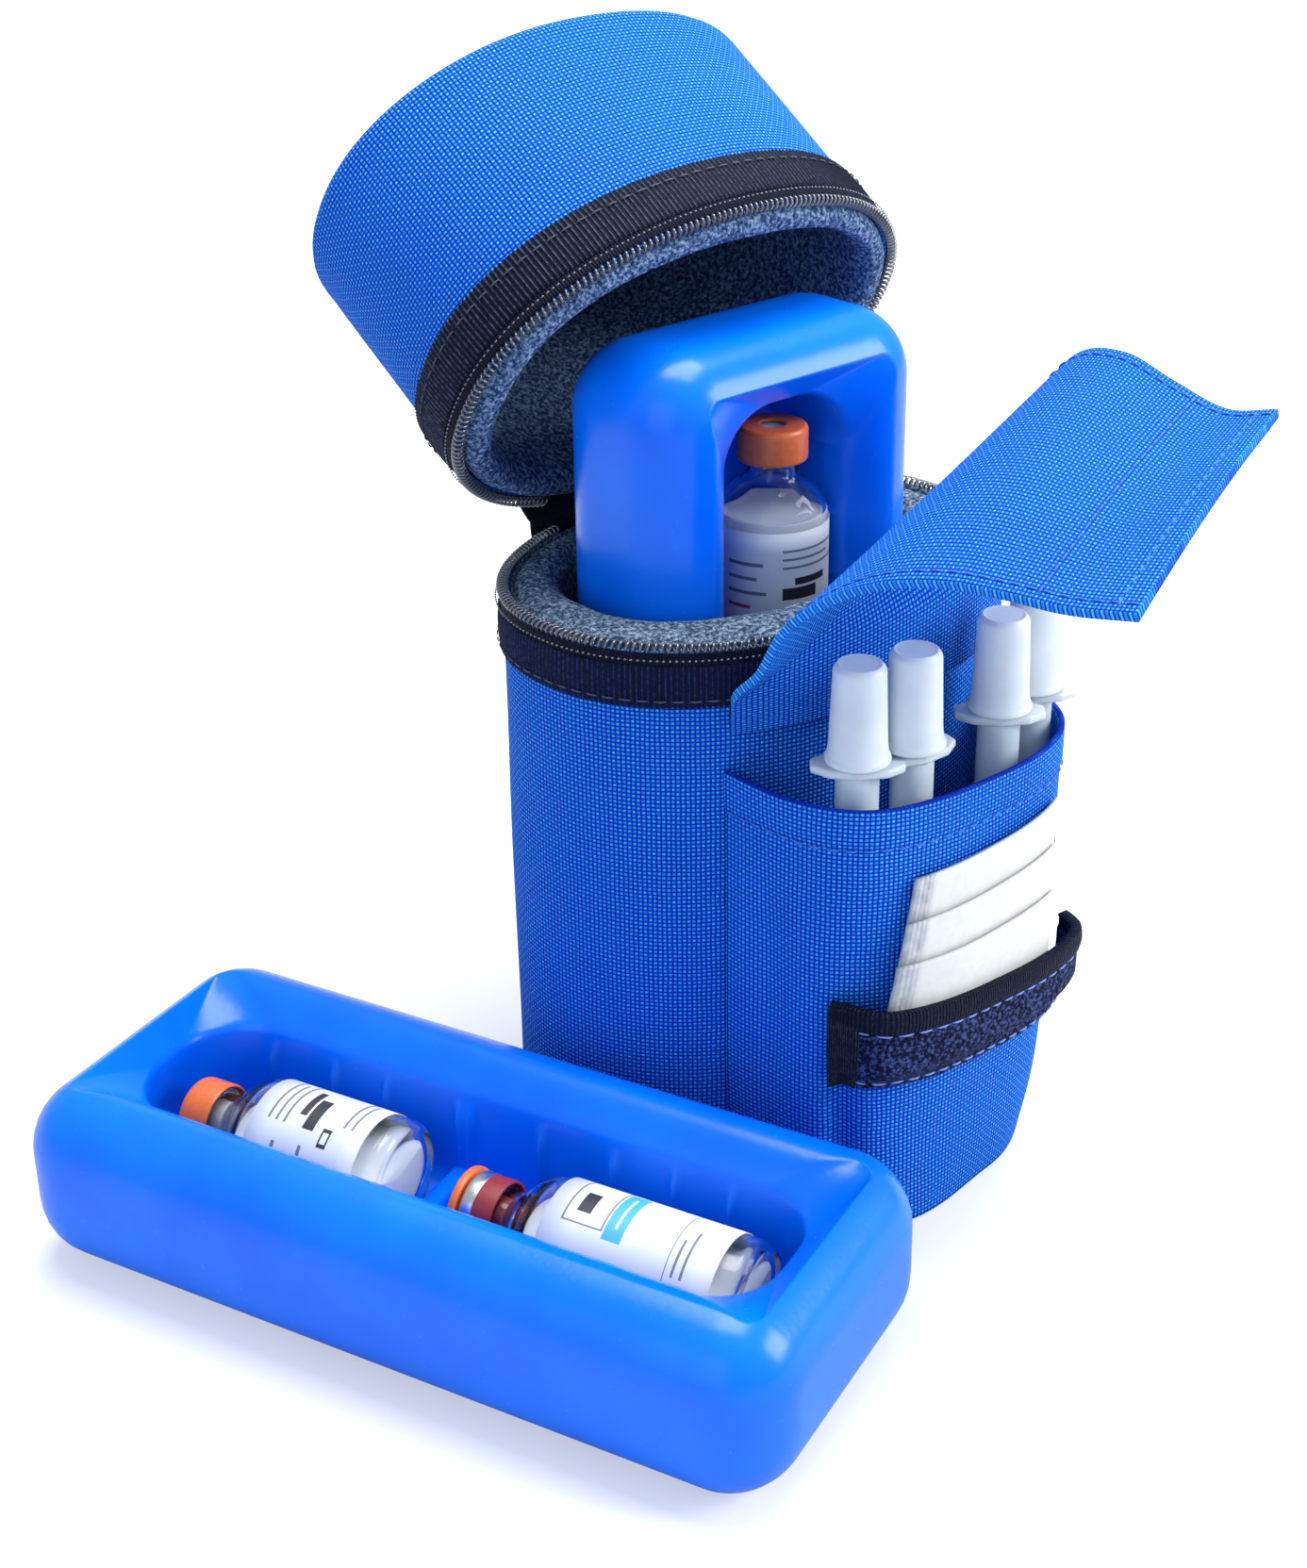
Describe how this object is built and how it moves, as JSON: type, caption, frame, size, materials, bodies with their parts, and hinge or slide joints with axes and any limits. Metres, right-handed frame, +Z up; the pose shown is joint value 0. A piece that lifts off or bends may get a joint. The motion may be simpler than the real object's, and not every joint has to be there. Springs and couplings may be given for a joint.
{
  "type": "insulin cooling case",
  "caption": "Oval zippered cooling case with hinged lid, foam lining, moulded cooling trays that hold vials, and a front pocket with flap for capped syringes.",
  "frame": {"origin": "centre of the case's underside, on the surface it stands on", "axes": "+Z up along the case's height, -Y towards the syringe pocket, +X to the right seen from the pocket side"},
  "size_m": [0.2049, 0.2045, 0.2196],
  "materials": {
    "shell_fabric": "coarse basket-weave nylon, laminated",
    "foam": "blue-grey closed-cell foam with a knit face",
    "zip_tape": "ribbed black woven tape",
    "zip_coil": "black nylon coil",
    "slider_metal": "black painted die-cast slider",
    "loop_pile": "dark looped pile and hook tape",
    "packet_paper": "foil-lined paper packet",
    "tray_plastic": "glossy moulded plastic",
    "vial_glass": "clear glass",
    "insulin": "clear liquid",
    "stopper_rubber": "grey rubber",
    "red_rubber": "dark red rubber",
    "orange_seal": "satin orange",
    "silver_seal": "crimped aluminium",
    "label_paper": "coated paper",
    "shield_orange": "moulded polypropylene",
    "barrel_clear": "clear moulded plastic",
    "frosted_cap": "frosted translucent plastic"
  },
  "bodies": {
    "case": {"case_shell": "shell_fabric", "case_base_board": "shell_fabric", "case_foam_base": "foam", "case_foam_liner": "foam", "case_zip_tape": "zip_tape", "case_zip_coil": "zip_coil", "case_hinge_strip": "zip_tape", "zip_slider": "slider_metal", "pocket_panel": "shell_fabric", "pocket_floor": "shell_fabric", "loop_band": "loop_pile", "band_binding": "zip_tape", "flap_root": "shell_fabric"},
    "lid": {"lid_shell": "shell_fabric", "lid_top_panel": "shell_fabric", "lid_foam_top": "foam", "lid_foam_liner": "foam", "lid_zip_tape": "zip_tape", "lid_zip_coil": "zip_coil", "lid_hinge_strip": "zip_tape"},
    "zip_pull": {"zip_pull": "slider_metal"},
    "flap_over": {"flap_over": "shell_fabric"},
    "flap_end": {"flap_end": "shell_fabric", "flap_hook_strip": "loop_pile"},
    "tray": {"cooling_tray": "tray_plastic"},
    "case_vial": {"case_vial_glass": "vial_glass", "case_vial_liquid": "insulin", "case_vial_stopper": "stopper_rubber", "case_vial_seal": "orange_seal", "case_vial_label": "label_paper"},
    "spare_tray": {"spare_tray": "tray_plastic"},
    "short_vial": {"short_vial_glass": "vial_glass", "short_vial_liquid": "insulin", "short_vial_stopper": "stopper_rubber", "short_vial_seal": "orange_seal", "short_vial_label": "label_paper"},
    "long_vial": {"long_vial_glass": "vial_glass", "long_vial_liquid": "insulin", "long_vial_stopper": "red_rubber", "long_vial_seal": "silver_seal", "long_vial_label": "label_paper", "long_vial_flip_disc": "orange_seal"},
    "syringe_1": {"syringe_1_needle_shield": "shield_orange", "syringe_1_barrel": "barrel_clear", "syringe_1_plunger_cap": "frosted_cap"},
    "syringe_2": {"syringe_2_needle_shield": "shield_orange", "syringe_2_barrel": "barrel_clear", "syringe_2_plunger_cap": "frosted_cap"},
    "syringe_3": {"syringe_3_needle_shield": "shield_orange", "syringe_3_barrel": "barrel_clear", "syringe_3_plunger_cap": "frosted_cap"},
    "syringe_4": {"syringe_4_needle_shield": "shield_orange", "syringe_4_barrel": "barrel_clear", "syringe_4_plunger_cap": "frosted_cap"},
    "swab_1": {"swab_packet_1": "packet_paper"},
    "swab_2": {"swab_packet_2": "packet_paper"},
    "swab_3": {"swab_packet_3": "packet_paper"}
  },
  "joints": [
    {"name": "lid_hinge", "type": "hinge", "parent": "case", "child": "lid", "pos_m": [0, 0.0408, 0.1213], "axis": [-1, 0, 0], "range_deg": [-58, 72]},
    {"name": "flap_lift", "type": "hinge", "parent": "case", "child": "flap_over", "pos_m": [0, -0.044, 0.1224], "axis": [-1, 0, 0], "range_deg": [-86, 12]},
    {"name": "flap_bend", "type": "hinge", "parent": "flap_over", "child": "flap_end", "pos_m": [0, -0.047, 0.143], "axis": [-1, 0, 0], "range_deg": [-8, 40]},
    {"name": "pull_swing", "type": "hinge", "parent": "case", "child": "zip_pull", "pos_m": [0.03253, 0.03523, 0.1209], "axis": [0.9083, -0.4183, 0], "range_deg": [0, 110]},
    {"name": "tray_lift", "type": "slide", "parent": "case", "child": "tray", "axis": [0, 0, 1], "range_m": [0, 0.012]},
    {"name": "case_vial_out", "type": "slide", "parent": "tray", "child": "case_vial", "axis": [0, -1, 0], "range_m": [0, 0.007]},
    {"name": "spare_tray_lift", "type": "slide", "parent": "case", "child": "spare_tray", "axis": [0, 0, 1], "range_m": [0, 0.06]},
    {"name": "short_vial_lift", "type": "slide", "parent": "spare_tray", "child": "short_vial", "axis": [0, 0, 1], "range_m": [0, 0.05]},
    {"name": "long_vial_lift", "type": "slide", "parent": "spare_tray", "child": "long_vial", "axis": [0, 0, 1], "range_m": [0, 0.05]},
    {"name": "syringe_1_lift", "type": "slide", "parent": "case", "child": "syringe_1", "axis": [0, 0, 1], "range_m": [0, 0.016]},
    {"name": "syringe_2_lift", "type": "slide", "parent": "case", "child": "syringe_2", "axis": [0, 0, 1], "range_m": [0, 0.016]},
    {"name": "syringe_3_lift", "type": "slide", "parent": "case", "child": "syringe_3", "axis": [0, 0, 1], "range_m": [0, 0.016]},
    {"name": "syringe_4_lift", "type": "slide", "parent": "case", "child": "syringe_4", "axis": [0, 0, 1], "range_m": [0, 0.016]},
    {"name": "swab_1_lift", "type": "slide", "parent": "case", "child": "swab_1", "axis": [0, 0, 1], "range_m": [0, 0.02]},
    {"name": "swab_2_lift", "type": "slide", "parent": "case", "child": "swab_2", "axis": [0, 0, 1], "range_m": [0, 0.02]},
    {"name": "swab_3_lift", "type": "slide", "parent": "case", "child": "swab_3", "axis": [0, 0, 1], "range_m": [0, 0.02]}
  ]
}
